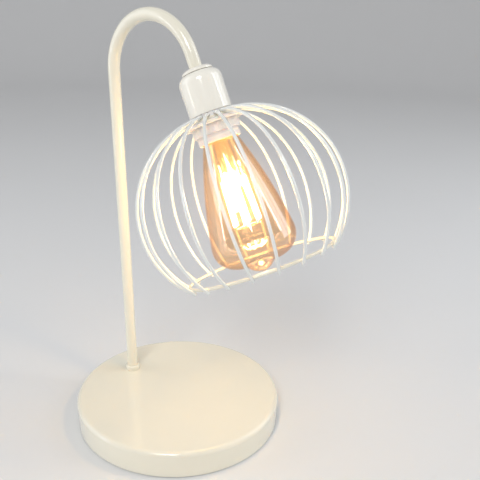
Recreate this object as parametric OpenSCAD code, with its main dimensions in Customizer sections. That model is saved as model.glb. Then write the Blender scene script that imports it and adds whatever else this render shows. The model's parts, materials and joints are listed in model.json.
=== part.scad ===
// Cage table lamp: a round weighted base, a hook-shaped arm, a cup over the lampholder
// and an open cage of bent wires round a teardrop bulb.
// The origin is the centre of the base's underside, +Z is up and +X runs from the pole to the head.

/* [Base] */
// Outer diameter of the base cover
base_d = 183; // [160:1:220]
// Height from the table to the top of the base
base_h = 24.6; // [24:0.2:34]
// Radius of the base's top edge
base_edge_r = 4; // [2.5:0.5:6]
// Sheet thickness of the base cover
base_wall = 1.6; // [1:0.1:2]
// Thickness of the iron weight
weight_t = 9; // [6:0.5:9]
// Thickness of the foam pad under the base
pad_t = 2; // [1.6:0.1:2]

/* [Arm] */
// Outer diameter of the arm tube
tube_d = 9.5; // [8:0.5:11]
// Wall of the arm tube
tube_wall = 1; // [0.6:0.1:1.5]
// Distance of the pole's centre line from the base's rim
pole_inset = 32.8; // [27:0.1:46]
// Height at which the pole starts to bend
bend_z = 295.8; // [260:0.1:340]
// Bend radius at the tube's centre line
bend_r = 41.5; // [36:0.5:50]
// Lean of the head's axis from the vertical
head_tilt = 25.5; // [15:0.5:35]
// Diameter of the collar at the pole's foot
collar_d = 13.6; // [12.5:0.1:18]
// Height of the collar at the pole's foot
collar_h = 5; // [3:0.5:9]

/* [Head] */
// Distance from the end of the bend to the top of the cup
cup_drop = 13; // [11:0.5:20]
// Outer diameter of the cup over the lampholder
cup_d = 31.6; // [31:0.2:36]
// Length of the cup
cup_h = 28.6; // [27.6:0.2:29]
// Outer radius of the cup's shoulder
cup_shoulder_r = 6.5; // [3:0.5:8]
// Sheet thickness of the cup
cup_wall = 0.8; // [0.5:0.1:0.9]
// Outer diameter of the shade ring's flange
ring_flange_d = 44; // [40:0.5:50]
// Outer diameter of the shade ring's ribbed skirt
ring_skirt_d = 35; // [34:0.5:37]

/* [Cage] */
// Number of cage wires
wire_count = 20; // [20:1:20]
// Diameter of the cage wires and of the hoop
wire_d = 2.4; // [1.8:0.1:3]
// Radius that each cage wire is bent to
wire_arc_r = 66.9; // [60:0.1:68]
// Distance of that bend's centre from the head's axis
wire_arc_off = 9.5; // [8:0.1:11]
// Turn of the first wire from the arm's plane
wire_phase = -5; // [-9:0.5:9]
// Angle below the widest level at which the wires end
wire_end_a = 45; // [40:0.5:50]

/* [Bulb] */
// Largest diameter of the bulb
bulb_d = 64; // [56:1:70]
// Length of the bulb from its contact to its tip
bulb_len = 130; // [120:1:140]
// Diameter of the glass where it leaves the screw cap
bulb_neck_d = 26.4; // [25:0.2:26.6]
// Radius of the bulb's long, slightly bulging flank
bulb_flank_r = 348; // [300:1:400]
// Radius of the bulb's lower shoulder
bulb_shoulder_r = 17; // [14:0.5:20]
// Distance from the bulb's flat end to the tip of its pip
pip_h = 7; // [5:0.5:8]
// Radius of the bulb's pip
pip_r = 12; // [10:0.5:13]
// Number of filaments
filament_count = 6; // [4:1:8]
// Length of one filament
filament_len = 42; // [30:1:44]

/* [Hidden] */
$fn = 96;

// clearances: seated pieces of one body, and moving pieces
seat_gap = 0.1;
run_gap = 0.3;
// overshoot of a cutting solid past the face that it cuts
cut = 1;

// base stack, from the table up
plate_t = 1.2;
cover_z = 1;
plate_top_z = pad_t + plate_t;
base_r = base_d / 2;
base_in_r = base_r - base_wall;
plate_r = base_in_r - run_gap;
weight_r = base_in_r - base_edge_r - 0.5;
weight_top_z = base_h - base_wall;
weight_low_z = weight_top_z - weight_t;
room_z = (plate_top_z + weight_low_z) / 2;
boss_d = 10;
boss_ring_r = 70;
boss_turn = 0;
screw_d = 4;
screw_head_d = 7.4;
screw_head_h = 1.2;
screw_len = 9;

// cord inlet at the back of the base
gland_bore_d = 7;
gland_neck_d = 9.4;
gland_flange_d = min(12, weight_low_z - plate_top_z - 2 * seat_gap);
gland_flange_t = 1.6;
gland_in_x = -base_in_r + 0.4;

// pole foot
pole_back = base_r - pole_inset;
tube_r = tube_d / 2;
tube_bore_r = tube_r - tube_wall;
nut_af = 14;
nut_h = 3.5;
washer_d = 20;
washer_t = 1.2;
tube_low_z = weight_low_z - washer_t - nut_h - 2;
// the bend's loss of diameter, and how far the straight runs reach into it
bend_thinning = 0.1;
bend_lap = 0.5;
lead_d = 4.6;
bush_flange_t = 1.2;

// terminal block on the underside of the weight
block_l = 26;
block_w = 15;
block_h = min(9, weight_low_z - plate_top_z - 1);
block_x = -18;
block_y = 20;
block_way = 8;
earth_x = -30;
earth_y = -22;

// head frame: origin where the bend ends, local -Z runs down the head's axis
head_x = -pole_back + bend_r + bend_r * cos(head_tilt);
head_z = bend_z + bend_r * sin(head_tilt);

// distances down the head's axis
cup_top = cup_drop;
cup_rim = cup_top + cup_h;
cup_nut_h = 2.6;
cup_nut_d = 22.6;
washer_low = cup_top + cup_wall + 0.8;
neck_d = 15;
dome_top = washer_low;
dome_floor = dome_top + 5.4;
tube_end = dome_floor + 0.5;
dome_d = cup_d - 2 * cup_wall - 0.6;
dome_in_d = 26.6;
dome_end = cup_rim - 7.6;
block_top = dome_end - 6.6;
block_low = block_top + 1.6;

// cage: the wires leave the gap between the cup's rim and the shade ring
wire_r = wire_d / 2;
wire_start_r = dome_d / 2 + 0.4;
wire_start_a = acos((wire_start_r - wire_arc_off) / wire_arc_r);
wire_mid = cup_rim + 0.35 + wire_r + wire_arc_r * sin(wire_start_a);
hub_top = cup_rim + 0.35 + wire_d + 0.45;
hub_t = 1.2;
hub_low = hub_top + hub_t;
hub_d = 34;
hoop_a = wire_end_a - 1.6;
hoop_gap = wire_d + seat_gap;
hoop_r = wire_arc_off + (wire_arc_r - hoop_gap) * cos(hoop_a);
hoop_mid = wire_mid + (wire_arc_r - hoop_gap) * sin(hoop_a);

// lampholder below the cup
body_d = 31.2;
body_in_d = 28.3;
mouth = hub_low + 15.6;
shell_out_d = 28.1;
shell_in_d = 27;
shell_top = dome_end + seat_gap;
shell_low = mouth - 4;
flange_cone_h = 1.5;
flange_edge_h = 1.7;
rib_h = 6.7;
body_edge = 0.8;
rib_count = 48;

// bulb
bulb_tip = block_low + 0.9 + bulb_len;
bulb_top = bulb_tip - bulb_len;
bulb_r = bulb_d / 2;
bulb_mid = bulb_tip - pip_h - bulb_shoulder_r;
cap_d = 26.4;
cap_wall = 0.5;
cap_top = bulb_top + 4.2;
cap_low = bulb_top + 26;
contact_d = 9;
contact_h = 0.7;
insulator_d = 16;
glass_t = 0.8;
neck_r = bulb_neck_d / 2;
neck_end = cap_low + 6;
neck_in_cap = 10;
// centre of the flank's arc, which passes the neck's end and runs into the shoulder's arc
shoulder_at = [bulb_r - bulb_shoulder_r, -bulb_mid];
neck_at = [neck_r, -neck_end];
neck_way = neck_at - shoulder_at;
flank_gap = bulb_flank_r - bulb_shoulder_r;
flank_a = (flank_gap ^ 2 - bulb_flank_r ^ 2 + norm(neck_way) ^ 2) / (2 * norm(neck_way));
flank_h = sqrt(flank_gap ^ 2 - flank_a ^ 2);
flank_at = shoulder_at + (flank_a * neck_way - flank_h * [neck_way[1], -neck_way[0]]) / norm(neck_way);
flank_end = shoulder_at[1] + bulb_shoulder_r * (shoulder_at[1] - flank_at[1]) / flank_gap;
stem_r = 4.2;
stem_top = cap_low - 5;
stem_wall = 1.2;
flare_h = 9;
flare_d = 22;
filament_ring_r = 8.6;
filament_d = 1.8;
filament_gap = 0.6;
filament_low = bulb_mid - 11;
filament_top = filament_low - filament_len;
stem_low = filament_top - 1;
frame_wire_d = 0.6;
hoop_wire_d = 0.9;

module in_head() {
  translate([head_x, 0, head_z]) rotate([0, -head_tilt, 0]) children();
}

// a cylinder on the head's axis between two distances down it
module head_rod(from, to, d) {
  translate([0, 0, -to]) cylinder(d = d, h = to - from);
}

module head_cone(from, to, d_from, d_to) {
  translate([0, 0, -to]) cylinder(d1 = d_to, d2 = d_from, h = to - from);
}

module head_pipe(from, to, d_out, d_in) {
  difference() {
    head_rod(from, to, d_out);
    head_rod(from - cut, to + cut, d_in);
  }
}

// a disc whose upper outer edge is rounded
module round_top_disc(r, h, edge) {
  rotate_extrude() union() {
    square([r - edge, h]);
    square([r, h - edge]);
    translate([r - edge, h - edge]) intersection() {
      circle(r = edge);
      square(edge);
    }
  }
}

module hex_nut(af, h, hole_d) {
  difference() {
    cylinder(d = af / cos(30), h = h, $fn = 6);
    translate([0, 0, -cut]) cylinder(d = hole_d, h = h + 2 * cut);
  }
}

module at_pole() {
  translate([-pole_back, 0, 0]) children();
}

module at_bosses() {
  for (i = [0:2])
    rotate([0, 0, boss_turn + i * 120]) translate([boss_ring_r, 0, 0]) children();
}

// Base

module base_cover() {
  color("ivory") difference() {
    translate([0, 0, cover_z]) round_top_disc(base_r, base_h - cover_z, base_edge_r);
    translate([0, 0, cover_z - cut])
      round_top_disc(base_in_r, base_h - base_wall - cover_z + cut, base_edge_r - base_wall);
    at_pole() cylinder(d = tube_d + 2 * seat_gap, h = base_h + cut);
    translate([-base_r - cut, 0, room_z]) rotate([0, 90, 0])
      cylinder(d = gland_neck_d + 2 * seat_gap, h = base_wall + 2 * cut);
  }
}

module base_weight() {
  color("dimgray") difference() {
    union() {
      translate([0, 0, weight_low_z]) cylinder(r = weight_r, h = weight_t);
      at_bosses() translate([0, 0, plate_top_z]) cylinder(d = boss_d, h = weight_low_z - plate_top_z + cut);
    }
    at_pole() cylinder(d = tube_d + 2 * seat_gap, h = base_h);
    at_bosses() cylinder(d = screw_d + 2 * seat_gap, h = plate_top_z + screw_len);
    translate([earth_x, earth_y, 0]) cylinder(d = screw_d + 2 * seat_gap, h = weight_low_z + 6);
  }
}

module bottom_plate() {
  color("silver") difference() {
    translate([0, 0, pad_t]) cylinder(r = plate_r, h = plate_t);
    at_bosses() cylinder(d = screw_d + 2 * run_gap, h = base_h);
  }
}

module plate_screws() {
  color("gray") at_bosses() {
    translate([0, 0, pad_t - screw_head_h]) cylinder(d = screw_head_d, h = screw_head_h);
    translate([0, 0, pad_t - screw_head_h]) cylinder(d = screw_d, h = screw_head_h + screw_len);
  }
}

module foot_pad() {
  color("black") difference() {
    cylinder(r = plate_r - 2, h = pad_t);
    at_bosses() translate([0, 0, pad_t - screw_head_h - seat_gap])
      cylinder(d = screw_head_d + 2 * run_gap, h = pad_t);
  }
}

module cord_gland() {
  color("whitesmoke") translate([0, 0, room_z]) rotate([0, 90, 0]) difference() {
    union() {
      translate([0, 0, -base_r - gland_flange_t]) cylinder(d = gland_flange_d, h = gland_flange_t);
      translate([0, 0, -base_r - gland_flange_t])
        cylinder(d = gland_neck_d, h = gland_in_x + base_r + 2 * gland_flange_t);
      translate([0, 0, gland_in_x]) cylinder(d = gland_flange_d, h = gland_flange_t);
    }
    translate([0, 0, -base_r - gland_flange_t - cut]) cylinder(d = gland_bore_d, h = 10);
  }
}

// Wiring in the base

module block_ways() {
  for (i = [-1:1]) translate([block_x + i * block_way, block_y, 0]) children();
}

module terminal_block() {
  color("white") difference() {
    translate([block_x - block_l / 2, block_y - block_w / 2, weight_low_z - block_h])
      cube([block_l, block_w, block_h]);
    block_ways() translate([0, -block_w, weight_low_z - block_h / 2]) rotate([-90, 0, 0])
      cylinder(d = 3.4, h = 2 * block_w);
    block_ways() for (side = [-4, 4]) translate([0, side, weight_low_z - block_h - cut])
      cylinder(d = 3.6, h = block_h / 2 + cut);
  }
}

module terminal_screws() {
  color("goldenrod") block_ways() for (side = [-4, 4])
    translate([0, side, weight_low_z - block_h + 0.5]) cylinder(d = 3.2, h = block_h / 2 - 2.6);
}

module earth_tag() {
  color("goldenrod") translate([earth_x, earth_y, weight_low_z - 0.8]) difference() {
    union() {
      cylinder(d = 8, h = 0.8);
      translate([0, -2, 0]) cube([13, 4, 0.8]);
    }
    translate([0, 0, -cut]) cylinder(d = screw_d + 2 * seat_gap, h = 3);
  }
}

module earth_screw() {
  color("goldenrod") translate([earth_x, earth_y, weight_low_z - 0.8]) {
    translate([0, 0, -2.2]) cylinder(d = 7, h = 2.2);
    translate([0, 0, -2.2]) cylinder(d = screw_d, h = 8);
  }
}

// Arm

// the arm's run as a rod, from its foot to its end in the head; the bend is a little thinner
module arm_run(d, foot_z, end) {
  at_pole() translate([0, 0, foot_z]) cylinder(d = d, h = bend_z - foot_z + bend_lap);
  translate([-pole_back + bend_r, 0, bend_z]) rotate([90, 0, 180])
    rotate_extrude(angle = 180 - head_tilt) translate([bend_r, 0]) circle(d = d - bend_thinning);
  in_head() head_rod(-bend_lap, end, d);
}

module arm_tube() {
  color("ivory") difference() {
    arm_run(tube_d, tube_low_z, tube_end);
    arm_run(2 * tube_bore_r, tube_low_z - cut, tube_end + cut);
  }
}

module pole_collar() {
  color("ivory") at_pole() translate([0, 0, base_h]) difference() {
    round_top_disc(collar_d / 2, collar_h, 1);
    translate([0, 0, -cut]) cylinder(d = tube_d + 2 * seat_gap, h = collar_h + 2 * cut);
  }
}

module pole_washer() {
  color("silver") at_pole() translate([0, 0, weight_low_z - washer_t]) difference() {
    cylinder(d = washer_d, h = washer_t);
    translate([0, 0, -cut]) cylinder(d = tube_d + 2 * seat_gap, h = washer_t + 2 * cut);
  }
}

module pole_nut() {
  color("silver") at_pole() translate([0, 0, weight_low_z - washer_t - nut_h])
    hex_nut(nut_af, nut_h, tube_d + 2 * seat_gap);
}

module tube_bush() {
  color("white") at_pole() translate([0, 0, tube_low_z - bush_flange_t]) difference() {
    union() {
      cylinder(d = tube_d + 1, h = bush_flange_t);
      cylinder(d = 2 * tube_bore_r - 2 * seat_gap, h = bush_flange_t + 6);
    }
    translate([0, 0, -cut]) cylinder(d = lead_d + 2 * seat_gap, h = 12);
  }
}

module inner_lead() {
  color("white") arm_run(lead_d, tube_low_z - bush_flange_t, tube_end);
}

// Lampholder

module cup_nut() {
  color("ivory") in_head() difference() {
    union() {
      head_cone(cup_top - cup_nut_h, cup_top - 1.2, cup_nut_d - 3, cup_nut_d);
      head_rod(cup_top - 1.2, cup_top, cup_nut_d);
    }
    head_rod(cup_top - cup_nut_h - cut, cup_top + cut, tube_d + 2 * seat_gap);
  }
}

module cup_blank(r, h, edge) {
  translate([0, 0, -cup_rim]) round_top_disc(r, h, edge);
}

module lamp_cup() {
  color("ivory") in_head() difference() {
    cup_blank(cup_d / 2, cup_h, cup_shoulder_r);
    translate([0, 0, -cut])
      cup_blank(cup_d / 2 - cup_wall, cup_h - cup_wall + cut, cup_shoulder_r - cup_wall);
    head_rod(cup_top - cut, cup_rim, tube_d + 2 * seat_gap);
  }
}

module lock_washer() {
  color("silver") in_head() head_pipe(cup_top + cup_wall, washer_low, 16, tube_d + 2 * seat_gap);
}

module holder_dome() {
  color("whitesmoke") in_head() difference() {
    union() {
      head_rod(dome_top, dome_floor, neck_d);
      head_cone(dome_top + 2, dome_floor, neck_d, dome_d - 4);
      head_cone(dome_floor, dome_floor + 2, dome_d - 4, dome_d);
      head_rod(dome_floor + 2, dome_end, dome_d);
    }
    head_rod(dome_top - cut, dome_floor + cut, tube_d + 2 * seat_gap);
    head_cone(dome_floor + 1, dome_floor + 3, dome_in_d - 6, dome_in_d);
    head_rod(dome_floor + 3, dome_end + cut, dome_in_d);
  }
}

module holder_terminals() {
  color("goldenrod") in_head() for (side = [-1, 1]) translate([0, side * 7.5, -block_top]) difference() {
    translate([-2.5, -2, 0]) cube([5, 4, 4.6]);
    translate([-4, 0, 2.3]) rotate([0, 90, 0]) cylinder(d = 2, h = 8);
  }
}

module terminal_clamps() {
  color("silver") in_head() for (side = [-1, 1])
    translate([0, side * 10.3, -block_top + 2.3]) rotate([90, 0, 0]) cylinder(d = 2.4, h = 1.4, center = true);
}

module contact_block() {
  color("white") in_head() head_rod(block_top, block_low, dome_in_d - 2 * seat_gap);
}

module centre_contact() {
  color("goldenrod") in_head() translate([-3, -2.5, -block_low - 0.6]) cube([6, 5, 0.6]);
}

module side_contact() {
  color("goldenrod") in_head() translate([12.7, -1.5, 0.4 - dome_end]) cube([0.4, 3, dome_end - 0.4 - block_low]);
}

module holder_body() {
  color("whitesmoke") in_head() difference() {
    union() {
      head_rod(dome_end, hub_low, dome_d);
      head_rod(hub_low, mouth - body_edge, body_d);
      head_cone(mouth - body_edge, mouth, body_d, body_d - 2 * body_edge);
    }
    head_rod(dome_end - cut, mouth + cut, body_in_d);
  }
}

module screw_shell() {
  color("silver") in_head() head_pipe(shell_top, shell_low, shell_out_d, shell_in_d);
}

module shade_ring() {
  rib_top = hub_low + flange_cone_h + flange_edge_h;
  rib_low = rib_top + rib_h;
  color("whitesmoke") in_head() difference() {
    union() {
      head_cone(hub_low, hub_low + flange_cone_h, hub_d, ring_flange_d);
      head_rod(hub_low + flange_cone_h, rib_top, ring_flange_d);
      head_rod(rib_top, rib_low, ring_skirt_d - 0.8);
      for (i = [0:rib_count - 1]) rotate([0, 0, i * 360 / rib_count])
        translate([ring_skirt_d / 2 - 0.9, -0.6, -rib_low]) cube([0.9, 1.2, rib_h]);
    }
    head_rod(hub_low - cut, rib_low + cut, body_d + 2 * seat_gap);
  }
}

// Cage

module cage_hub() {
  color("ivory") in_head() head_pipe(hub_top, hub_low, hub_d, dome_d + 2 * seat_gap);
}

module cage_hoop() {
  color("ivory") in_head() translate([0, 0, -hoop_mid])
    rotate_extrude() translate([hoop_r, 0]) circle(r = wire_r);
}

// one wire, bent to a single arc in a plane through the head's axis
module cage_wire(i) {
  color("ivory") in_head() rotate([0, 0, wire_phase + (i - 1) * 360 / wire_count])
    translate([wire_arc_off, 0, -wire_mid]) rotate([90, 0, 0]) rotate([0, 0, -wire_end_a])
      rotate_extrude(angle = wire_start_a + wire_end_a) translate([wire_arc_r, 0]) circle(r = wire_r);
}

// Bulb

module bulb_screw_cap() {
  color("silver") in_head() difference() {
    union() {
      head_cone(cap_top - 1.2, cap_top, insulator_d, cap_d);
      head_rod(cap_top, cap_low, cap_d);
    }
    head_cone(cap_top - 1.2 - 0.01, cap_top + cap_wall, insulator_d - 2 * cap_wall, cap_d - 2 * cap_wall);
    head_rod(cap_top + cap_wall, cap_low + cut, cap_d - 2 * cap_wall);
  }
}

module bulb_insulator() {
  color("dimgray") in_head() head_cone(bulb_top + contact_h, cap_top - 1.2, contact_d, insulator_d - 2 * cap_wall);
}

module bulb_contact() {
  color("silver") in_head() head_cone(bulb_top, bulb_top + contact_h, contact_d - 3, contact_d);
}

// half of the bulb's section, from the screw cap to the pip, drawn in by one thickness
module bulb_section(inset) {
  intersection() {
    union() {
      translate([0, -neck_end]) square([neck_r - inset, neck_end - cap_low - inset]);
      intersection() {
        translate(flank_at) circle(r = bulb_flank_r - inset, $fn = 720);
        translate([0, flank_end]) square([bulb_d, cut - neck_end - flank_end]);
      }
      translate(shoulder_at) circle(r = bulb_shoulder_r - inset);
      translate([0, shoulder_at[1] - bulb_shoulder_r + inset])
        square([shoulder_at[0], cut + flank_end - shoulder_at[1] + bulb_shoulder_r - inset]);
      translate([0, -bulb_tip + pip_r]) circle(r = pip_r - inset);
    }
    translate([0, -bulb_tip]) square([bulb_d, bulb_len]);
  }
}

module bulb_glass() {
  sleeve_r = cap_d / 2 - cap_wall - seat_gap;
  color("orange", 0.5) in_head() rotate_extrude() difference() {
    union() {
      bulb_section(0);
      translate([0, -cap_low - glass_t]) square([sleeve_r, neck_in_cap]);
    }
    bulb_section(glass_t);
    translate([0, -cap_low - 2 * glass_t]) square([sleeve_r - glass_t, neck_in_cap + 2 * glass_t]);
  }
}

module bulb_stem() {
  color("lightyellow", 0.5) in_head() difference() {
    union() {
      head_cone(stem_top, stem_top + flare_h, flare_d, 2 * stem_r);
      head_rod(stem_top + flare_h, stem_low - stem_r, 2 * stem_r);
      translate([0, 0, -stem_low + stem_r]) sphere(r = stem_r);
    }
    head_cone(stem_top - 0.01, stem_top + flare_h, flare_d - 2 * stem_wall, 2 * (stem_r - stem_wall));
    head_rod(stem_top + flare_h - 0.01, stem_low - 2 * stem_r, 2 * (stem_r - stem_wall));
  }
}

module filament_places() {
  for (i = [0:filament_count - 1])
    rotate([0, 0, i * 360 / filament_count]) translate([filament_ring_r, 0, 0]) children();
}

// two hoops, the posts between them and the rod that hangs them from the stem
module bulb_leads() {
  color("gray") in_head() {
    for (level = [filament_top, filament_low]) translate([0, 0, -level])
      rotate_extrude() translate([filament_ring_r, 0]) circle(d = hoop_wire_d);
    for (i = [0, floor(filament_count / 2)]) rotate([0, 0, (i + 0.5) * 360 / filament_count])
      translate([filament_ring_r, 0, -filament_low]) cylinder(d = frame_wire_d, h = filament_len);
    head_rod(stem_low + seat_gap, filament_top, hoop_wire_d);
    translate([0, 0, -filament_top]) rotate([0, 90, 0]) cylinder(
      d = frame_wire_d, h = 2 * filament_ring_r, center = true);
  }
}

module bulb_filaments() {
  color("gold") in_head() filament_places() translate([0, 0, -filament_low + filament_gap]) cylinder(
    d = filament_d, h = filament_len - 2 * filament_gap);
}

base_cover();
base_weight();
bottom_plate();
plate_screws();
foot_pad();
cord_gland();
terminal_block();
terminal_screws();
earth_tag();
earth_screw();
arm_tube();
pole_collar();
pole_washer();
pole_nut();
tube_bush();
inner_lead();
cup_nut();
lamp_cup();
lock_washer();
holder_dome();
holder_terminals();
terminal_clamps();
contact_block();
centre_contact();
side_contact();
holder_body();
screw_shell();
shade_ring();
cage_hub();
cage_hoop();
cage_wire(1);  // cage_wire_01
cage_wire(2);  // cage_wire_02
cage_wire(3);  // cage_wire_03
cage_wire(4);  // cage_wire_04
cage_wire(5);  // cage_wire_05
cage_wire(6);  // cage_wire_06
cage_wire(7);  // cage_wire_07
cage_wire(8);  // cage_wire_08
cage_wire(9);  // cage_wire_09
cage_wire(10);  // cage_wire_10
cage_wire(11);  // cage_wire_11
cage_wire(12);  // cage_wire_12
cage_wire(13);  // cage_wire_13
cage_wire(14);  // cage_wire_14
cage_wire(15);  // cage_wire_15
cage_wire(16);  // cage_wire_16
cage_wire(17);  // cage_wire_17
cage_wire(18);  // cage_wire_18
cage_wire(19);  // cage_wire_19
cage_wire(20);  // cage_wire_20
bulb_screw_cap();
bulb_insulator();
bulb_contact();
bulb_glass();
bulb_stem();
bulb_leads();
bulb_filaments();
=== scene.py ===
"""Looks of the cage table lamp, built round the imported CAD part.

Lengths are in millimetres until MM turns them into metres. The camera's clipping, the weld distance,
the depths in the finishes and the lights are in metres from the start.
A distance called s runs down the head's axis, from the end of the arm's bend toward the bulb's tip.
An outline's corner is (radius, height or s, fillet radius).
"""

import json
import math

import bmesh
import bpy
from mathutils import Matrix, Vector


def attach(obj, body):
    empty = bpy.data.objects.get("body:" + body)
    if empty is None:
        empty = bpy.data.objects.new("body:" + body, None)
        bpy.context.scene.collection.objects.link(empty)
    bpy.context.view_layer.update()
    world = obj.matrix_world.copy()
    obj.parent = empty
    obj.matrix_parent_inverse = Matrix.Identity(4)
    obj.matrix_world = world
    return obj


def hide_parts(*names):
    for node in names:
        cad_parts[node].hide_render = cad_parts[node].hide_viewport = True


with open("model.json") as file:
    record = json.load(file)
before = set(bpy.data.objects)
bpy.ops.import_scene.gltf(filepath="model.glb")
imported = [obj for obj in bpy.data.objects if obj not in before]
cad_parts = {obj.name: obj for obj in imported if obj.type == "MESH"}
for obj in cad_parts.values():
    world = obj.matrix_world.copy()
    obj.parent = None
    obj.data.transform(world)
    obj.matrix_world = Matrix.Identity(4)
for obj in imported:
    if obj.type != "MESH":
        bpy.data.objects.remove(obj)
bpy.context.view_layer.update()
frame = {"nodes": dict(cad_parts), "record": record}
MM = 0.001


def add(name, data):
    """A new object of this data in the scene."""
    ob = bpy.data.objects.new(name, data)
    bpy.context.scene.collection.objects.link(ob)
    return ob


# Camera, solved from the photo's outlines of the base, pole, hook, cup and cage
PHOTO_PX = 480
FOCAL_PX = 645.127
LENS_X_PX = 225.19
LENS_Y_PX = 320.0
AZIMUTH = math.radians(37.7036)
ELEVATION = math.radians(28.2162)
ROLL = math.radians(0.873)
SLIDE_RIGHT = 43.671
SLIDE_UP = 85.676
DISTANCE = 606.854
SENSOR = 36
NEAR = 0.01
FAR = 30


def make_camera():
    """The photo's camera, slid sideways and up from a line through the base's centre."""
    back = Vector((
        math.sin(AZIMUTH) * math.cos(ELEVATION),
        -math.cos(AZIMUTH) * math.cos(ELEVATION),
        math.sin(ELEVATION)))
    flat = Vector((math.cos(AZIMUTH), math.sin(AZIMUTH), 0))
    steep = Vector((
        -math.sin(AZIMUTH) * math.sin(ELEVATION),
        math.cos(AZIMUTH) * math.sin(ELEVATION),
        math.cos(ELEVATION)))
    right = flat * math.cos(ROLL) + steep * math.sin(ROLL)
    up = steep * math.cos(ROLL) - flat * math.sin(ROLL)
    data = bpy.data.cameras.new("camera")
    data.sensor_width = SENSOR
    data.lens = FOCAL_PX / PHOTO_PX * SENSOR
    data.shift_x = 0.5 - LENS_X_PX / PHOTO_PX
    data.shift_y = LENS_Y_PX / PHOTO_PX - 0.5
    data.clip_start = NEAR
    data.clip_end = FAR
    camera = add("camera", data)
    at = (back * DISTANCE + right * SLIDE_RIGHT + up * SLIDE_UP) * MM
    camera.matrix_world = Matrix.Translation(at) @ Matrix((right, up, back)).transposed().to_4x4()
    bpy.context.scene.camera = camera


make_camera()

# Arm and base, with the sizes of the CAD source
POLE_X = -58.7
BEND_Z = 295.8
BEND_R = 41.5
TILT = math.radians(25.5)
TUBE_R = 4.75
TUBE_LOW = 7.3
TUBE_END = 20.5
BASE_TOP = 24.6
COLLAR_R = 6.8
COLLAR_H = 5.0

# The head's own frame, at the end of the bend
HEAD_X = POLE_X + BEND_R + BEND_R * math.cos(TILT)
HEAD_Z = BEND_Z + BEND_R * math.sin(TILT)
DOWN = Vector((math.sin(TILT), 0, -math.cos(TILT)))
OUT = Vector((math.cos(TILT), 0, math.sin(TILT)))
SIDE = Vector((0, 1, 0))


def head(x, y, s):
    """A point of the head: x outward, y sideways and s down its axis."""
    return (Vector((HEAD_X, 0, HEAD_Z)) + OUT * x + SIDE * y + DOWN * s) * MM


def at_pole(x, y, z):
    """A point x and y from the pole's centre line."""
    return Vector((POLE_X + x, y, z)) * MM


def upright(x, y, z):
    """A point of the shared frame."""
    return Vector((x, y, z)) * MM


# Mesh helpers, where a mesh is (vertices, faces)
WELD_DISTANCE = 1e-7
SHARP_ANGLE = math.radians(35)


def piece(name, mesh, mat, body="lamp", slot=None, replaces=None):
    """A smooth piece that rides on a body, takes a finish and may stand for a CAD node. The slot argument
    is not used.
    """
    verts, faces = mesh
    me = bpy.data.meshes.new(name)
    me.from_pydata([tuple(v) for v in verts], [], faces)
    me.validate()
    bm = bmesh.new()
    bm.from_mesh(me)
    bmesh.ops.remove_doubles(bm, verts=bm.verts, dist=WELD_DISTANCE)
    bmesh.ops.recalc_face_normals(bm, faces=bm.faces)
    bm.to_mesh(me)
    bm.free()
    me.shade_smooth()
    me.set_sharp_from_angle(angle=SHARP_ANGLE)
    me.materials.append(mat)
    ob = add(name, me)
    if body:
        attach(ob, body)
    if replaces:
        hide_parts(replaces)
    return ob


def grid(rows, columns, rows_close=False, columns_close=True):
    """Faces between rows of vertices, which may close on themselves either way."""
    faces = []
    for i in range(rows if rows_close else rows - 1):
        for j in range(columns if columns_close else columns - 1):
            here = i * columns
            after = (i + 1) % rows * columns
            beside = (j + 1) % columns
            faces.append((here + j, here + beside, after + beside, after + j))
    return faces


def soften(corners, steps):
    """A closed outline from its corners, with their fillets drawn in steps."""
    out = []
    for i, (x, y, fillet) in enumerate(corners):
        if not fillet:
            out.append((x, y))
            continue
        corner = Vector((x, y))
        before = (Vector(corners[i - 1][:2]) - corner).normalized()
        after = (Vector(corners[(i + 1) % len(corners)][:2]) - corner).normalized()
        half = before.angle(after) / 2
        centre = corner + (before + after).normalized() * (fillet / math.sin(half))
        first = corner + before * (fillet / math.tan(half)) - centre
        last = corner + after * (fillet / math.tan(half)) - centre
        turn = math.pi - 2 * half
        for k in range(steps + 1):
            t = k / steps
            from_centre = (math.sin((1 - t) * turn) * first + math.sin(t * turn) * last) / math.sin(turn)
            point = centre + from_centre
            out.append((point.x, point.y))
    return out


def revolve(outline, place, steps, closed=True, wobble=None):
    """An outline turned about its axis. A wobble adds to the radius."""
    verts = []
    for k in range(steps):
        a = 2 * math.pi * k / steps
        for r, h in outline:
            q = r + (wobble(a, r, h) if wobble else 0)
            verts.append(place(q * math.cos(a), q * math.sin(a), h))
    return verts, grid(steps, len(outline), rows_close=True, columns_close=closed)


def lathe(name, outline, place, mat, steps=96, **more):
    """A piece with an outline that is turned about its axis."""
    piece(name, revolve(outline, place, steps), mat, **more)


# Ends of a bar as (distance along it, share of its radius), both for a radius of one
ROUND_END = ((0.0, 1.0), (0.3, 0.95), (0.52, 0.82), (0.66, 0.6), (0.72, 0.3), (0.73, 0.0))
CUT_END = ((0.0, 1.0), (0.06, 0.985), (0.08, 0.95), (0.08, 0.80), (0.0, 0.79), (-1.0, 0.79), (-1.0, 0.0))


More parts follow.
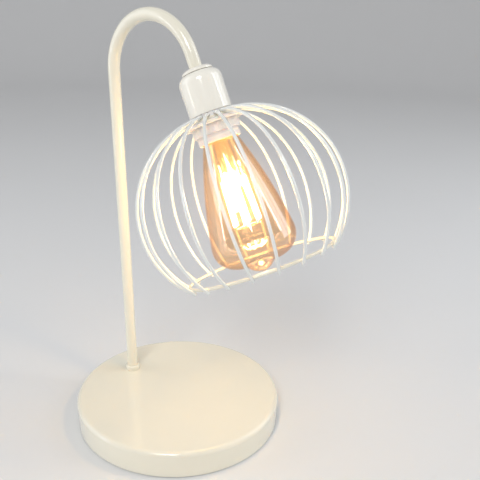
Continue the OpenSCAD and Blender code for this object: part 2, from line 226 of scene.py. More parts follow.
def tube(path, radius, sides=20, closed=False, end=ROUND_END):
    """A round bar along a path that closes on itself, or whose two ends are shaped inside its length."""
    n = len(path)
    radius *= MM
    if closed:
        ways = [(path[(i + 1) % n] - path[i - 1]).normalized() for i in range(n)]
    else:
        ways = [(path[min(i + 1, n - 1)] - path[max(i - 1, 0)]).normalized() for i in range(n)]
    rings = [(point, way, 1.0) for point, way in zip(path, ways)]
    if not closed:
        reach = max(along for along, _ in end) * radius
        rows = [(along * radius - reach, share) for along, share in end]
        first = [(path[0] - ways[0] * beyond, ways[0], share) for beyond, share in reversed(rows)]
        last = [(path[-1] + ways[-1] * beyond, ways[-1], share) for beyond, share in rows]
        rings = first + rings[1:-1] + last
    side = ways[0].orthogonal().normalized()
    verts = []
    for point, way, share in rings:
        side = (side - way * side.dot(way)).normalized()
        other = way.cross(side)
        for j in range(sides):
            a = 2 * math.pi * j / sides
            verts.append(point + (side * math.cos(a) + other * math.sin(a)) * radius * share)
    return verts, grid(len(rings), sides, rows_close=closed)


def joined(meshes):
    """Several meshes as one."""
    verts, faces = [], []
    for more, quads in meshes:
        at = len(verts)
        verts += more
        faces += [tuple(i + at for i in quad) for quad in quads]
    return verts, faces


# Shader helpers, with the two values that most of a noise lies between
NOISE_LOW = 0.3
NOISE_HIGH = 0.7


def start(name):
    """A new material with its node tree and its main shader."""
    mat = bpy.data.materials.new(name)
    mat.use_nodes = True
    nt = mat.node_tree
    return mat, nt, nt.nodes["Principled BSDF"]


def noise(nt, scale, detail, stretch=None):
    """A noise in the object's own space, longer along one axis where it is stretched."""
    coord = nt.nodes.new("ShaderNodeTexCoord")
    tex = nt.nodes.new("ShaderNodeTexNoise")
    tex.inputs["Scale"].default_value = scale
    tex.inputs["Detail"].default_value = detail
    source = coord.outputs["Object"]
    if stretch:
        mapping = nt.nodes.new("ShaderNodeMapping")
        mapping.inputs["Scale"].default_value = stretch
        nt.links.new(source, mapping.inputs["Vector"])
        source = mapping.outputs["Vector"]
    nt.links.new(source, tex.inputs["Vector"])
    return tex.outputs["Fac"]


def ramp(nt, fac, low, high, start_at=NOISE_LOW, end_at=NOISE_HIGH):
    """A colour that follows fac from low to high."""
    node = nt.nodes.new("ShaderNodeValToRGB")
    stops = node.color_ramp.elements
    stops[0].position = start_at
    stops[1].position = end_at
    stops[0].color = (*low, 1)
    stops[1].color = (*high, 1)
    nt.links.new(fac, node.inputs["Fac"])
    return node.outputs["Color"]


def span(nt, fac, low, high):
    """A number that follows fac from low to high."""
    node = nt.nodes.new("ShaderNodeMapRange")
    node.inputs["From Min"].default_value = NOISE_LOW
    node.inputs["From Max"].default_value = NOISE_HIGH
    node.inputs["To Min"].default_value = low
    node.inputs["To Max"].default_value = high
    nt.links.new(fac, node.inputs["Value"])
    return node.outputs["Result"]


def facing(nt, blend):
    """How flat the surface is seen, from 0 in the middle to 1 at its edge."""
    node = nt.nodes.new("ShaderNodeLayerWeight")
    node.inputs["Blend"].default_value = blend
    return node.outputs["Facing"]


def mixed(nt, first, second):
    """Two shaders mixed, and the socket of the second one's share."""
    node = nt.nodes.new("ShaderNodeMixShader")
    nt.links.new(first, node.inputs[1])
    nt.links.new(second, node.inputs[2])
    return node.outputs["Shader"], node.inputs["Fac"]


# Solid materials
BUMP_STRENGTH = 0.35
COAT_ROUGHNESS = 0.02
SCATTER_REACH = (0.004, 0.0025, 0.0015)


def surface(name, low, high, rough, scale, metal=0.0, grain=900, grain_depth=0.00002, coat=0.0,
            level=0.5, stretch=None, scatter=0.0):
    """A finish whose colour and roughness drift between two values, with a fine grain."""
    mat, nt, shader = start(name)
    nt.links.new(ramp(nt, noise(nt, scale, 4), low, high), shader.inputs["Base Color"])
    nt.links.new(span(nt, noise(nt, scale * 4, 3, stretch), *rough), shader.inputs["Roughness"])
    shader.inputs["Metallic"].default_value = metal
    shader.inputs["Specular IOR Level"].default_value = level
    shader.inputs["Coat Weight"].default_value = coat
    shader.inputs["Coat Roughness"].default_value = COAT_ROUGHNESS
    if scatter:
        shader.inputs["Subsurface Weight"].default_value = scatter
        shader.inputs["Subsurface Radius"].default_value = SCATTER_REACH
        shader.inputs["Subsurface Scale"].default_value = 1.0
    bump = nt.nodes.new("ShaderNodeBump")
    bump.inputs["Strength"].default_value = BUMP_STRENGTH
    bump.inputs["Distance"].default_value = grain_depth
    nt.links.new(noise(nt, grain, 2, stretch), bump.inputs["Height"])
    nt.links.new(bump.outputs["Normal"], shader.inputs["Normal"])
    return mat


def ivory_coat(name, low, high):
    """Glossy powder coat, one paint all over the real lamp. Its tint differs by part only as painted light:
    lighter on the cup, cooler on the wires.
    """
    return surface(name, low, high, (0.2, 0.24), scale=18, grain_depth=0.000004, coat=1.0, level=0.3)


ivory = ivory_coat("ivory_powder_coat", (0.845, 0.805, 0.675), (0.855, 0.817, 0.69))
# Painted light: the wires get the ivory paint made cooler and paler, as if cool light falls on them.
wire_cool_painted_light = ivory_coat("ivory_cool_painted_light_on_wires", (0.795, 0.82, 0.805), (0.805, 0.832, 0.817))
# Painted light: the cup and its nut get the ivory paint made lighter, as if the front light falls on them.
cup_bright_painted_light = ivory_coat("ivory_bright_painted_light_on_cup", (0.915, 0.88, 0.79), (0.925, 0.892, 0.805))
holder_white = surface("holder_plastic", (0.82, 0.78, 0.765), (0.85, 0.815, 0.80), (0.28, 0.38), scale=80,
                       grain=1400, scatter=0.25)
porcelain = surface("white_insulator", (0.80, 0.79, 0.76), (0.86, 0.85, 0.82), (0.2, 0.3), scale=80)
iron = surface("cast_iron", (0.035, 0.035, 0.037), (0.075, 0.073, 0.07), (0.55, 0.75), scale=70, metal=0.6,
               grain=500, grain_depth=0.0002)
zinc = surface("zinc_plate", (0.52, 0.52, 0.49), (0.62, 0.61, 0.57), (0.24, 0.4), scale=90, metal=1.0,
               grain=1200, stretch=(1, 1, 0.15))
brass = surface("brass", (0.62, 0.43, 0.17), (0.72, 0.52, 0.23), (0.2, 0.34), scale=120, metal=1.0)
nickel = surface("nickel_shell", (0.66, 0.64, 0.58), (0.72, 0.70, 0.64), (0.16, 0.28), scale=150, metal=1.0)
foam = surface("foam_pad", (0.022, 0.022, 0.024), (0.04, 0.04, 0.042), (0.85, 0.95), scale=200, grain=1500,
               grain_depth=0.0003, level=0.2)
nylon = surface("gland_nylon", (0.76, 0.74, 0.68), (0.80, 0.78, 0.72), (0.35, 0.45), scale=90)
sheath = surface("lead_sheath", (0.72, 0.71, 0.68), (0.78, 0.77, 0.74), (0.45, 0.6), scale=100)
black_glass = surface("black_glass", (0.012, 0.011, 0.012), (0.025, 0.022, 0.022), (0.08, 0.16), scale=200)
steel_wire = surface("lead_wire", (0.72, 0.60, 0.40), (0.84, 0.72, 0.50), (0.2, 0.35), scale=400, metal=1.0)

# Glass and filament materials
TINT_BLEND = 0.35
TINT_FROM = 0.4
TINT_TO = 0.9
GLINT = (0.98, 0.96, 1.0, 1)
GLINT_ROUGHNESS = 0.015
EDGE_POWER = 4.0
EDGE_GLINT = 0.5
EMISSION = 90.0


def thin_glass(name, clear, edge, film, film_share, gloss):
    """Thin glass that light crosses straight, in its clear tint in the middle and its edge tint at the rim.

    A small share of it is a film that lights up, and it mirrors by its gloss and more at flat angles.
    """
    mat, nt, shader = start(name)
    nt.nodes.remove(shader)
    through = nt.nodes.new("ShaderNodeBsdfTransparent")
    tint = ramp(nt, facing(nt, TINT_BLEND), clear, edge, TINT_FROM, TINT_TO)
    nt.links.new(tint, through.inputs["Color"])
    lit_film = nt.nodes.new("ShaderNodeBsdfTranslucent")
    lit_film.inputs["Color"].default_value = (*film, 1)
    tinted, share = mixed(nt, through.outputs["BSDF"], lit_film.outputs["BSDF"])
    share.default_value = film_share
    mirror = nt.nodes.new("ShaderNodeBsdfGlossy")
    mirror.inputs["Roughness"].default_value = GLINT_ROUGHNESS
    mirror.inputs["Color"].default_value = GLINT
    flatness = nt.nodes.new("ShaderNodeMath")
    flatness.operation = "POWER"
    flatness.inputs[1].default_value = EDGE_POWER
    nt.links.new(facing(nt, 0.5), flatness.inputs[0])
    mirrored = nt.nodes.new("ShaderNodeMath")
    mirrored.operation = "MULTIPLY_ADD"
    mirrored.inputs[1].default_value = EDGE_GLINT
    mirrored.inputs[2].default_value = gloss
    nt.links.new(flatness.outputs["Value"], mirrored.inputs[0])
    glass, share = mixed(nt, tinted, mirror.outputs["BSDF"])
    nt.links.new(mirrored.outputs["Value"], share)
    nt.links.new(glass, nt.nodes["Material Output"].inputs["Surface"])
    return mat


def glowing(name):
    """The filaments' phosphor, lit."""
    mat, nt, shader = start(name)
    colour = ramp(nt, noise(nt, 1500, 2), (0.9, 0.6, 0.12), (1.0, 0.72, 0.22))
    nt.links.new(colour, shader.inputs["Base Color"])
    shader.inputs["Roughness"].default_value = 0.6
    shader.inputs["Emission Color"].default_value = (1.0, 0.80, 0.52, 1)
    shader.inputs["Emission Strength"].default_value = EMISSION
    return mat


amber = thin_glass("amber_glass", clear=(0.975, 0.885, 0.775), edge=(0.86, 0.60, 0.35),
                   film=(1.0, 0.55, 0.22), film_share=0.003, gloss=0.13)
stem_glass = thin_glass("stem_glass", clear=(0.995, 0.985, 0.965), edge=(0.97, 0.93, 0.84),
                        film=(1.0, 0.80, 0.45), film_share=0.05, gloss=0.06)
phosphor = glowing("filament_phosphor")

# Looks of the CAD nodes, by material slot and, for three of them, by node
SLOT_LOOKS = {
    "ivory_paint": ivory, "cast_weight": iron, "zinc_steel": zinc, "foam_pad": foam,
    "white_plastic": holder_white, "lead_sheath": sheath, "brass": brass, "shell_metal": nickel,
    "black_glass": black_glass, "amber_glass": amber, "clear_glass": stem_glass, "filament": phosphor,
}
OWN_LOOKS = {"cord_gland": nylon, "contact_block": porcelain, "terminal_block": porcelain}


def dress_solids():
    """Gives each CAD node its procedural material."""
    for row in frame["record"]["subparts"]:
        node = frame["nodes"][row["node"]]
        node.data.materials.clear()
        node.data.materials.append(SLOT_LOOKS[row["material_slot"]])
    for name, look in OWN_LOOKS.items():
        frame["nodes"][name].data.materials[0] = look


# Arm and its collar
POLE_STEPS = 40
BEND_STEPS = 72
DROP_STEPS = 8
COLLAR_BORE = TUBE_R + 0.1


def arm_path():
    """The tube's centre line: the pole, the bend and the drop into the head."""
    path = [at_pole(0, 0, TUBE_LOW + (BEND_Z - TUBE_LOW) * k / POLE_STEPS) for k in range(POLE_STEPS)]
    for k in range(BEND_STEPS + 1):
        a = (math.pi - TILT) * k / BEND_STEPS
        path.append(upright(POLE_X + BEND_R - BEND_R * math.cos(a), 0, BEND_Z + BEND_R * math.sin(a)))
    return path + [head(0, 0, TUBE_END * k / DROP_STEPS) for k in range(1, DROP_STEPS + 1)]


def make_arm():
    piece("arm", tube(arm_path(), TUBE_R, sides=40, end=CUT_END), ivory, slot="ivory_paint",
          replaces="arm_tube")


def make_collar():
    top = BASE_TOP + COLLAR_H
    corners = [(COLLAR_BORE, BASE_TOP, 0.15), (COLLAR_R, BASE_TOP, 0.5), (COLLAR_R, top, 2.0),
               (COLLAR_BORE, top, 0.5)]
    lathe("collar", soften(corners, 8), at_pole, ivory, slot="ivory_paint", replaces="pole_collar")


# Cup and the flange nut on it
CUP_TOP = 13.0
CUP_RIM = 41.6
CUP_R = 15.8
CUP_SHOULDER_R = 6.5
CUP_WALL = 0.8
CUP_BORE = TUBE_R + 0.15
NUT_H = 2.6
NUT_BEVEL_H = 1.4
NUT_R = 11.3
NUT_TOP_R = 9.7
NUT_BORE = TUBE_R + 0.12


def make_cup():
    inner_r = CUP_R - CUP_WALL
    inner_top = CUP_TOP + CUP_WALL
    corners = [(CUP_BORE, CUP_TOP, 0), (CUP_R, CUP_TOP, CUP_SHOULDER_R), (CUP_R, CUP_RIM, 0.35),
               (inner_r, CUP_RIM, 0.3), (inner_r, inner_top, CUP_SHOULDER_R - CUP_WALL),
               (CUP_BORE, inner_top, 0)]
    lathe("cup", soften(corners, 12), head, cup_bright_painted_light, steps=128, slot="ivory_paint", replaces="lamp_cup")


def make_cup_nut():
    top = CUP_TOP - NUT_H
    corners = [(NUT_BORE, top, 0.3), (NUT_TOP_R, top, 0.5), (NUT_R, top + NUT_BEVEL_H, 0.4),
               (NUT_R, CUP_TOP, 0.25), (NUT_BORE, CUP_TOP, 0.1)]
    lathe("cup_flange_nut", soften(corners, 6), head, cup_bright_painted_light, slot="ivory_paint", replaces="cup_nut")


# Shade ring, a conical flange with a ribbed skirt
HUB_LOW = 46.0
RING_BORE = 15.7
RING_NECK_R = 17.0
FLANGE_R = 22.0
FLANGE_DROP = 1.5
SKIRT_R = 17.1
RIBS = 48
SIDES_PER_RIB = 12
RIB_TOP = 49.2
RIB_LOW = 55.9
RIB_DEPTH = 0.2
RIB_FADE = 0.8
SKIRT_TOLERANCE = 1e-6
SKIRT_STEP = 0.4
SKIRT_STEPS = 15


def ribbed(a, r, s):
    """Rounded ribs round the ring's skirt, faded out at both of their ends."""
    if abs(r - SKIRT_R) > SKIRT_TOLERANCE:
        return 0.0
    fade = min(1.0, max(0.0, (s - RIB_TOP) / RIB_FADE)) * min(1.0, max(0.0, (RIB_LOW - s) / RIB_FADE))
    return RIB_DEPTH * fade * (0.5 + 0.5 * math.cos(RIBS * a))


def make_shade_ring():
    skirt = [(SKIRT_R, RIB_TOP + SKIRT_STEP + SKIRT_STEP * k, 0) for k in range(SKIRT_STEPS)]
    corners = [(RING_BORE, HUB_LOW, 0), (RING_NECK_R, HUB_LOW, 0.2),
               (FLANGE_R, HUB_LOW + FLANGE_DROP, 0.35), (FLANGE_R, RIB_TOP, 0.6), (SKIRT_R, RIB_TOP, 0.3),
               *skirt, (SKIRT_R, RIB_LOW, 0.25), (RING_BORE, RIB_LOW, 0.15)]
    mesh = revolve(soften(corners, 6), head, RIBS * SIDES_PER_RIB, wobble=ribbed)
    piece("shade_ring_ribbed", mesh, holder_white, slot="white_plastic", replaces="shade_ring")


# Lampholder's body, with a fine groove above its mouth
HOLDER_TOP = 34.0
HOLDER_MOUTH = 61.6
HOLDER_R = 15.6
IN_HUB_R = 15.0
HOLDER_BORE = 14.15
GROOVE_R = 15.3
GROOVE_TOP = 57.3
GROOVE_LOW = 58.2
GROOVE_SLOPE = 0.2


def make_holder():
    groove = [(HOLDER_R, GROOVE_TOP, 0.15), (GROOVE_R, GROOVE_TOP + GROOVE_SLOPE, 0.1),
              (GROOVE_R, GROOVE_LOW - GROOVE_SLOPE, 0.1), (HOLDER_R, GROOVE_LOW, 0.15)]
    corners = [(IN_HUB_R, HOLDER_TOP, 0.2), (IN_HUB_R, HUB_LOW, 0.1), (HOLDER_R, HUB_LOW, 0.1), *groove,
               (HOLDER_R, HOLDER_MOUTH, 0.9), (HOLDER_BORE, HOLDER_MOUTH, 0.35),
               (HOLDER_BORE, HOLDER_TOP, 0.1)]
    lathe("holder_tube", soften(corners, 5), head, holder_white, slot="white_plastic",
          replaces="holder_body")


# Rolled threads of the lampholder's shell and of the bulb's cap
PITCH = 3.629
THREAD_DEPTH = 0.8
THREAD_SIDES = 96
THREAD_ROWS = 14
SHELL_R = 13.75
SHELL_TOP = 34.2
SHELL_LOW = 57.6
SHELL_WALL = 0.35
SHELL_LIP = 1.0


def thread_skin(radius, inset_by, top, low, lip):
    """Points of one skin: a right-handed thread down the head's axis, with plain lips."""
    rows = int((low - top) / PITCH * THREAD_ROWS) + 1
    verts = []
    for i in range(rows + 1):
        s = top + (low - top) * i / rows
        ease = min(1.0, max(0.0, min(s - top - lip, low - lip - s) / PITCH * 2))
        for k in range(THREAD_SIDES):
            a = 2 * math.pi * k / THREAD_SIDES
            wave = 0.5 * math.cos(2 * math.pi * s / PITCH + a) * ease
            r = radius + THREAD_DEPTH * wave - inset_by
            verts.append(head(r * math.cos(a), r * math.sin(a), s))
    return verts


def thread(radius, top, low, wall, lip):
    """A thin sheet rolled into a thread: two skins that are joined at both ends."""
    outer = thread_skin(radius, 0, top, low, lip)
    inner = thread_skin(radius, wall, top, low, lip)
    at = len(outer)
    last = at - THREAD_SIDES
    quads = grid(at // THREAD_SIDES, THREAD_SIDES)
    faces = quads + [tuple(at + i for i in reversed(quad)) for quad in quads]
    for k in range(THREAD_SIDES):
        n = (k + 1) % THREAD_SIDES
        faces.append((k, at + k, at + n, n))
        faces.append((last + k, last + n, at + last + n, at + last + k))
    return outer + inner, faces


def make_shell():
    piece("threaded_shell", thread(SHELL_R, SHELL_TOP, SHELL_LOW, SHELL_WALL, SHELL_LIP), nickel,
          slot="shell_metal", replaces="screw_shell")


# Cage wires, each an arc with its centre ARC_OFF from the head's axis and ARC_MID down it
WIRES = 20
WIRE_R = 1.2
PHASE = math.radians(-5)
ARC_R = 66.9
ARC_OFF = 9.5
ARC_MID = 109.8
ARC_FROM = math.radians(85.2)
ARC_TO = math.radians(45.0)
ARC_STEPS = 60


def arc_point(i, a, r=ARC_R):
    """A point at the angle a of wire i's arc, or at another radius from that arc's centre."""
    way = PHASE + 2 * math.pi * i / WIRES
    out = ARC_OFF + r * math.cos(a)
    return head(out * math.cos(way), out * math.sin(way), ARC_MID + r * math.sin(a))


def make_wires():
    for i in range(WIRES):
        turns = [-ARC_FROM + (ARC_FROM + ARC_TO) * k / ARC_STEPS for k in range(ARC_STEPS + 1)]
        piece(f"wire_{i + 1:02d}", tube([arc_point(i, a) for a in turns], WIRE_R), wire_cool_painted_light,
              slot="ivory_paint", replaces=f"cage_wire_{i + 1:02d}")


# Paint beads that fill the welds of the wires at the hoop and at the hub
HOOP_WELD = math.radians(43.4)
HOOP_WELD_IN = WIRE_R + 0.05
HUB_WELD = math.radians(-84.6)
HUB_WELD_DOWN = 1.3
BEAD_ROWS = 9
BEAD_SIDES = 16


def bead(centre, way, waist, end, half):
    """A waisted bead between two bars that cross, widest where it sinks into them."""
    side = way.orthogonal().normalized()
    other = way.cross(side)
    verts = []
    for i in range(BEAD_ROWS):
        t = 2 * i / (BEAD_ROWS - 1) - 1
        r = (waist + (end - waist) * t * t) * MM
        for k in range(BEAD_SIDES):
            a = 2 * math.pi * k / BEAD_SIDES
            verts.append(centre + way * (t * half * MM) + (side * math.cos(a) + other * math.sin(a)) * r)
    first = tuple(reversed(range(BEAD_SIDES)))
    last = tuple(range(len(verts) - BEAD_SIDES, len(verts)))
    return verts, grid(BEAD_ROWS, BEAD_SIDES) + [first, last]


def make_welds():
    beads = []
    for i in range(WIRES):
        outward = (arc_point(i, HOOP_WELD) - arc_point(i, HOOP_WELD, 0)).normalized()
        at_hoop = arc_point(i, HOOP_WELD, ARC_R - HOOP_WELD_IN)
        at_hub = arc_point(i, HUB_WELD) + DOWN * HUB_WELD_DOWN * MM
        beads.append(bead(at_hoop, outward, waist=0.75, end=1.12, half=0.75))
        beads.append(bead(at_hub, DOWN, waist=0.8, end=1.1, half=0.7))
    piece("cage_welds", joined(beads), ivory, slot="ivory_paint")


# Bulb's cap, insulator and contact
CAP_R = 12.85
CAP_TOP = 34.1
CAP_LOW = 55.9
CAP_WALL = 0.3
CAP_LIP = 1.5
CAP_THREAD_TOP = CAP_TOP + 0.3
CAP_SHOULDER = CAP_TOP + 0.5
CAP_END = [(7.6, 32.9, 0.15), (8.3, 32.75, 0.3), (11.2, 33.2, 0.9), (12.75, CAP_SHOULDER, 0.1),
           (12.45, CAP_SHOULDER, 0.1), (11.0, 33.55, 0.6), (7.6, 33.2, 0.15)]
INSULATOR = [(0, 30.9, 0), (4.3, 30.7, 0.3), (7.8, 32.7, 0.6), (7.8, 33.1, 0.1), (0, 33.1, 0)]
CONTACT_R = 4.4
CONTACT_H = 1.2
CONTACT_RIM = 31.1
CONTACT_BACK = 31.3
CONTACT_BACK_R = 4.2
CONTACT_TURNS = (0, 0.3, 0.6, 0.9, 1.2, 1.4, 1.57)


def make_cap():
    piece("cap_thread", thread(CAP_R, CAP_THREAD_TOP, CAP_LOW, CAP_WALL, CAP_LIP), nickel, body="bulb",
          slot="shell_metal", replaces="bulb_screw_cap")
    lathe("cap_end", soften(CAP_END, 5), head, nickel, body="bulb", slot="shell_metal")


def make_insulator():
    lathe("cap_insulator", soften(INSULATOR, 5), head, black_glass, steps=64, body="bulb_cap",
          slot="black_glass", replaces="bulb_insulator")


def make_contact():
    outline = [(CONTACT_R * math.sin(a), CONTACT_RIM - CONTACT_H * math.cos(a)) for a in CONTACT_TURNS]
    outline += [(CONTACT_BACK_R, CONTACT_BACK), (0, CONTACT_BACK)]
    lathe("cap_contact", outline, head, zinc, steps=48, body="bulb_cap", slot="zinc_steel",
          replaces="bulb_contact")


# Bulb's glass
BULB_TIP = 159.9
BULB_MID = 135.9
BULB_R = 32.0
SHOULDER_R = 17.0
SHOULDER_STEPS = 28
FLANK_R = 348.0
FLANK_STEPS = 48
NECK_R = 13.2
NECK_END = 61.9
IN_CAP_R = 12.55
IN_CAP_LENGTH = 9.0
TAPER_ABOVE = 0.4
TAPER_BELOW = 1.2
PIP_R = 12.0
PIP_STEPS = 20
END_STEPS = 8
GLASS_WALL = 0.7
SECTION_STEP = 0.9
ROUNDING_FROM = 146.0
ROUNDING_PASSES = 10


def flank_centre(shoulder_x):
    """Centre of the flank's arc, which starts at the neck and runs smoothly into the shoulder's arc."""
    to_x = NECK_R - shoulder_x
    to_s = NECK_END - BULB_MID
    gap = FLANK_R - SHOULDER_R
    far = math.hypot(to_x, to_s)
    along = (gap ** 2 - FLANK_R ** 2 + far ** 2) / (2 * far)
    off = math.sqrt(gap ** 2 - along ** 2)
    both = [(shoulder_x + (along * to_x + side * off * to_s) / far,
             BULB_MID + (along * to_s - side * off * to_x) / far) for side in (1, -1)]
    return min(both)


def arc(centre, radius, start_at, end_at, steps):
    """Points of an arc, without its first one."""
    turns = [start_at + (end_at - start_at) * k / steps for k in range(1, steps + 1)]
    return [(centre[0] + radius * math.cos(a), centre[1] + radius * math.sin(a)) for a in turns]


def glass_section():
    """The outer surface as (radius, s), from inside the cap to the tip."""
    shoulder = (BULB_R - SHOULDER_R, BULB_MID)
    flank = flank_centre(shoulder[0])
    at_neck = math.atan2(NECK_END - flank[1], NECK_R - flank[0])
    at_shoulder = math.atan2(shoulder[1] - flank[1], shoulder[0] - flank[0])
    section = [(IN_CAP_R, CAP_LOW - IN_CAP_LENGTH), (IN_CAP_R, CAP_LOW - TAPER_ABOVE),
               (NECK_R, CAP_LOW + TAPER_BELOW), (NECK_R, NECK_END)]
    section += arc(flank, FLANK_R, at_neck, at_shoulder, FLANK_STEPS)
    section += arc(shoulder, SHOULDER_R, at_shoulder, math.pi / 2, SHOULDER_STEPS)
    end = BULB_MID + SHOULDER_R
    pip_mid = BULB_TIP - PIP_R
    pip_edge = math.acos((end - pip_mid) / PIP_R)
    pip_edge_r = PIP_R * math.sin(pip_edge)
    inward = pip_edge_r - shoulder[0]
    section += [(shoulder[0] + inward * k / END_STEPS, end) for k in range(1, END_STEPS)]
    turns = [pip_edge * (1 - k / PIP_STEPS) for k in range(PIP_STEPS + 1)]
    return section + [(PIP_R * math.sin(a), pip_mid + PIP_R * math.cos(a)) for a in turns]


def even(points, gap):
    """The same line with its points a gap apart."""
    out = [points[0]]
    carry = 0.0
    for a, b in zip(points, points[1:]):
        far = math.dist(a, b)
        t = gap - carry
        while t < far:
            out.append((a[0] + (b[0] - a[0]) * t / far, a[1] + (b[1] - a[1]) * t / far))
            t += gap
        carry = far - (t - gap)
    return out + [points[-1]]


def rounded(points, passes, low):
    """The line with the corner between the bulb's end and its pip rounded off, and nothing above low."""
    for _ in range(passes):
        smooth = [points[0]]
        for before, point, after in zip(points, points[1:], points[2:]):
            if point[1] >= low:
                point = tuple((a + 2 * b + c) / 4 for a, b, c in zip(before, point, after))
            smooth.append(point)
        points = smooth + [points[-1]]
    return points


def inset(points, by):
    """The line moved inward, with its last point on the axis."""
    out = []
    for i, (x, y) in enumerate(points):
        before = points[max(i - 1, 0)]
        after = points[min(i + 1, len(points) - 1)]
        dx = after[0] - before[0]
        dy = after[1] - before[1]
        far = math.hypot(dx, dy)
        out.append((max(0.0, x - by * dy / far), y + by * dx / far))
    out[-1] = (0.0, points[-1][1] - by)
    return out


def make_glass():
    outer = rounded(even(glass_section(), SECTION_STEP), ROUNDING_PASSES, ROUNDING_FROM)
    outer[-1] = (0.0, outer[-1][1])
    lathe("glass_bulb", outer + inset(outer, GLASS_WALL)[::-1], head, amber, steps=144, body="bulb",
          slot="amber_glass", replaces="bulb_glass")


# Bulb's stem, as (radius, s), and the tube that it was pumped out through
STEM_OUTER = [(11.0, 51.2), (10.4, 52.0), (8.9, 54.2), (7.6, 57.0), (6.7, 60.0), (6.2, 64.0), (6.1, 70.0),
              (6.2, 80.0), (6.1, 86.0), (5.4, 88.6), (4.0, 90.2), (2.0, 91.0), (0.0, 91.1)]
STEM_INNER = [(0.0, 88.4), (3.2, 87.4), (4.8, 85.0), (5.2, 80.0), (5.1, 70.0), (5.2, 64.0), (5.8, 60.0),
              (6.8, 57.0), (8.2, 54.6), (9.8, 52.6), (10.6, 51.2)]
EXHAUST = [(1.9, 51.5), (1.9, 73.0), (1.2, 75.0), (0.0, 75.4), (0.0, 74.4), (0.9, 73.0), (1.2, 51.5)]
PRESS_FROM = 62.0
PRESS_OVER = 10.0
PRESS_FLAT = 0.25
PRESS_WIDE = 0.12


def pressed(x, y, s):
    """A point of the stem, which is pressed a little flat below its flare."""
    t = min(1.0, max(0.0, (s - PRESS_FROM) / PRESS_OVER))
    t = t * t * (3 - 2 * t)
    return head(x * (1 - PRESS_FLAT * t), y * (1 + PRESS_WIDE * t), s)


def make_stem():
    lathe("stem", STEM_OUTER + STEM_INNER, pressed, stem_glass, steps=64, body="bulb", slot="clear_glass",
          replaces="bulb_stem")
    lathe("exhaust_tube", EXHAUST, head, stem_glass, steps=32, body="bulb", slot="clear_glass")


# Filaments and their frame, which widens from its upper ring to its lower one
FILAMENTS = 6
FRAME_TOP = 82.9
FRAME_MID = 100.0
FRAME_LOW = 124.9
FRAME_TOP_R = 8.6
FRAME_LOW_R = 10.4
GLOW_TOP = FRAME_TOP + 6.5
GLOW_LOW = FRAME_LOW - 2.2
PIN_OVERLAP = 1.0
RING_STEPS = 64
STEM_RODS = 10
FRILLS = 12
FRILL_R = 4.9
FRILL_MID = 91.2

# Paths of the frame's wires as (distance from the axis, s)
LEAD = ((3.0, 52.0), (5.4, 57.0), (7.2, 61.5), (8.0, 66.0), (8.2, 72.0), (8.4, 78.0),
        (FRAME_TOP_R, FRAME_TOP))
LEAD_JOINT = ((8.15, 69.6), (8.2, 70.6), (8.25, 71.6), (8.25, 72.6))
HOOK = ((5.0, 80.0), (6.4, 81.2), (7.6, 82.4), (FRAME_TOP_R, FRAME_TOP))
STEM_ROD = ((4.5, 58.0), (4.4, 66.0), (4.5, 76.0), (4.3, 84.0))
FRILL = ((3.9, 90.4), (FRILL_R, FRILL_MID), (5.9, 91.8))

# Radii of the wires, pins and filaments themselves
RING_WIRE_R = 0.42
FRILL_RING_WIRE_R = 0.35
LEAD_R = 0.33
LEAD_JOINT_R = 0.62
FRAME_ROD_R = 0.28
HOOK_R = 0.2
STEM_ROD_R = 0.28
FRILL_WIRE_R = 0.25
PIN_R = 0.5
FILAMENT_R = 1.0


def on_frame(heights):
    """A path along the frame, straight from ring to ring."""
    widening = (FRAME_LOW_R - FRAME_TOP_R) / (FRAME_LOW - FRAME_TOP)
    return [(FRAME_TOP_R + widening * (s - FRAME_TOP), s) for s in heights]


def steps_between(start_at, end_at, steps):
    """Evenly spaced numbers, with both ends among them."""
    return [start_at + (end_at - start_at) * i / steps for i in range(steps + 1)]


def round_axis(count, offset, path, radius, sides=8, place=head):
    """Bars of one path, evenly spaced about the axis. The first stands at an offset in steps."""
    bars = []
    for k in range(count):
        a = 2 * math.pi * (k + offset) / count
        bars.append(tube([place(r * math.cos(a), r * math.sin(a), s) for r, s in path], radius, sides))
    return bars


def ring(r, s, radius, sides=10, place=head):
    """A ring of wire about the axis."""
    turns = [2 * math.pi * k / RING_STEPS for k in range(RING_STEPS)]
    return tube([place(r * math.cos(a), r * math.sin(a), s) for a in turns], radius, sides, closed=True)


def make_filament_frame():
    upper_pin = on_frame(steps_between(FRAME_TOP, GLOW_TOP + PIN_OVERLAP, 2))
    lower_pin = on_frame(steps_between(GLOW_LOW - PIN_OVERLAP, FRAME_LOW, 2))
    frame_rod = on_frame((FRAME_TOP, FRAME_MID, FRAME_LOW))
    bars = [ring(FRAME_TOP_R, FRAME_TOP, RING_WIRE_R),
            ring(FRAME_LOW_R, FRAME_LOW, RING_WIRE_R),
            ring(FRILL_R, FRILL_MID, FRILL_RING_WIRE_R, sides=8, place=pressed)]
    bars += round_axis(2, 0.5, LEAD, LEAD_R)
    bars += round_axis(2, 0.5, LEAD_JOINT, LEAD_JOINT_R)
    bars += round_axis(2, 0.5, frame_rod, FRAME_ROD_R)
    bars += round_axis(FILAMENTS, 0.5, HOOK, HOOK_R)
    bars += round_axis(STEM_RODS, 0.5, STEM_ROD, STEM_ROD_R, place=pressed)
    bars += round_axis(FRILLS, 0, FRILL, FRILL_WIRE_R, place=pressed)
    bars += round_axis(FILAMENTS, 0, upper_pin, PIN_R)
    bars += round_axis(FILAMENTS, 0, lower_pin, PIN_R)
    piece("filament_frame", joined(bars), steel_wire, body="bulb", slot="zinc_steel", replaces="bulb_leads")


def make_filaments():
    path = on_frame(steps_between(GLOW_TOP, GLOW_LOW, 4))
    sticks = round_axis(FILAMENTS, 0, path, FILAMENT_R, sides=16)
    piece("filament_sticks", joined(sticks), phosphor, body="bulb", slot="filament",
          replaces="bulb_filaments")


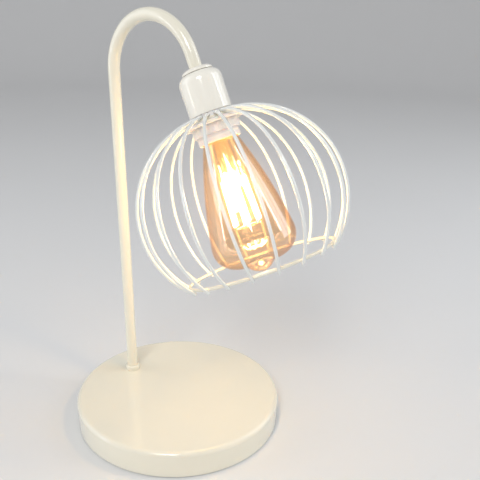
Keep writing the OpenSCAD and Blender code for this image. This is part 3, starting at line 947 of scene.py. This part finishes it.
# Stage, a pale floor that sweeps up into a wall all round
FLOOR_R = 2000
FLOOR_RINGS = (0.02, 400, 1200, FLOOR_R)
SWEEP_R = 900
SWEEP_STEPS = 16
WALL_TOP = 1600
PALE = (0.78, 0.78, 0.78)
PALER = (0.79, 0.79, 0.79)


def make_stage():
    turns = [math.pi / 2 * k / SWEEP_STEPS for k in range(1, SWEEP_STEPS + 1)]
    outline = [(r, 0) for r in FLOOR_RINGS]
    outline += [(FLOOR_R + SWEEP_R * math.sin(a), SWEEP_R - SWEEP_R * math.cos(a)) for a in turns]
    outline += [(FLOOR_R + SWEEP_R, WALL_TOP)]
    look = surface("pale_floor", PALE, PALER, (0.6, 0.7), scale=3, grain=120, level=0.25)
    floor = piece("floor", revolve(outline, upright, 96, closed=False), look, body=None)


# Lights as (name, place, size, watts, colour), all aimed at the middle of the lamp
AIM = (0.0, 0.0, 0.2)
COOL = (0.90, 0.95, 1.0)
MILD = (0.95, 0.96, 1.0)
WARM = (1.0, 0.99, 0.975)
SOFTBOXES = (
    ("left", (-1.2, -0.8, 0.72), (0.9, 1.3), 4.5, COOL),
    ("right", (0.95, 1.05, 0.74), (0.9, 1.3), 6.5, COOL),
    ("strip_left", (-0.79, -1.03, 0.33), (0.12, 0.6), 1.2, MILD),
    ("strip_right", (0.91, 0.57, 1.12), (0.12, 0.8), 1.6, MILD),
    ("front", (0.7, -1.45, 1.6), (0.8, 0.8), 19.0, WARM),
)
BULB_WATTS = 0.24
BULB_COLOUR = (1.0, 0.80, 0.22)
BULB_GLOW_R = 0.007
ROOM_COLOUR = (0.97, 0.98, 1.0, 1)
ROOM_STRENGTH = 0.42


def softbox(name, at, size, watts, colour):
    """A rectangular soft light."""
    data = bpy.data.lights.new(name, "AREA")
    data.shape = "RECTANGLE"
    data.size, data.size_y = size
    data.energy = watts
    data.color = colour
    ob = add(name, data)
    ob.location = at
    ob.rotation_euler = (Vector(at) - Vector(AIM)).to_track_quat("Z", "Y").to_euler()


def bulb_light():
    """The light that the filaments throw on the lamp."""
    data = bpy.data.lights.new("bulb_glow", "POINT")
    data.energy = BULB_WATTS
    data.color = BULB_COLOUR
    data.shadow_soft_size = BULB_GLOW_R
    ob = add("bulb_glow", data)
    ob.location = head(0, 0, (FRAME_TOP + FRAME_LOW) / 2)


def make_lights():
    for row in SOFTBOXES:
        softbox(*row)
    bulb_light()
    world = bpy.data.worlds.new("pale_room")
    world.use_nodes = True
    background = world.node_tree.nodes["Background"]
    background.inputs["Color"].default_value = ROOM_COLOUR
    background.inputs["Strength"].default_value = ROOM_STRENGTH
    bpy.context.scene.world = world


# View, with enough bounces for sheets of glass behind each other and with the camera's glare
GLASS_BOUNCES = 32
GLARE = {"Threshold": 2.0, "Maximum": 12.0, "Clamp": True, "Strength": 0.26, "Size": 0.15,
         "Tint": (1.0, 0.74, 0.44, 1.0)}


def make_view():
    scene = bpy.context.scene
    scene.view_settings.view_transform = "Standard"
    scene.cycles.transparent_max_bounces = GLASS_BOUNCES
    scene.use_nodes = True
    tree = scene.node_tree
    tree.nodes.clear()
    layers = tree.nodes.new("CompositorNodeRLayers")
    glare = tree.nodes.new("CompositorNodeGlare")
    glare.glare_type = "BLOOM"
    for name, value in GLARE.items():
        glare.inputs[name].default_value = value
    out = tree.nodes.new("CompositorNodeComposite")
    tree.links.new(layers.outputs["Image"], glare.inputs["Image"])
    tree.links.new(glare.outputs["Image"], out.inputs["Image"])


dress_solids()
make_arm()
make_collar()
make_cup()
make_cup_nut()
make_shade_ring()
make_holder()
make_shell()
make_wires()
make_welds()
make_cap()
make_insulator()
make_contact()
make_glass()
make_stem()
make_filament_frame()
make_filaments()
make_stage()
make_lights()
make_view()
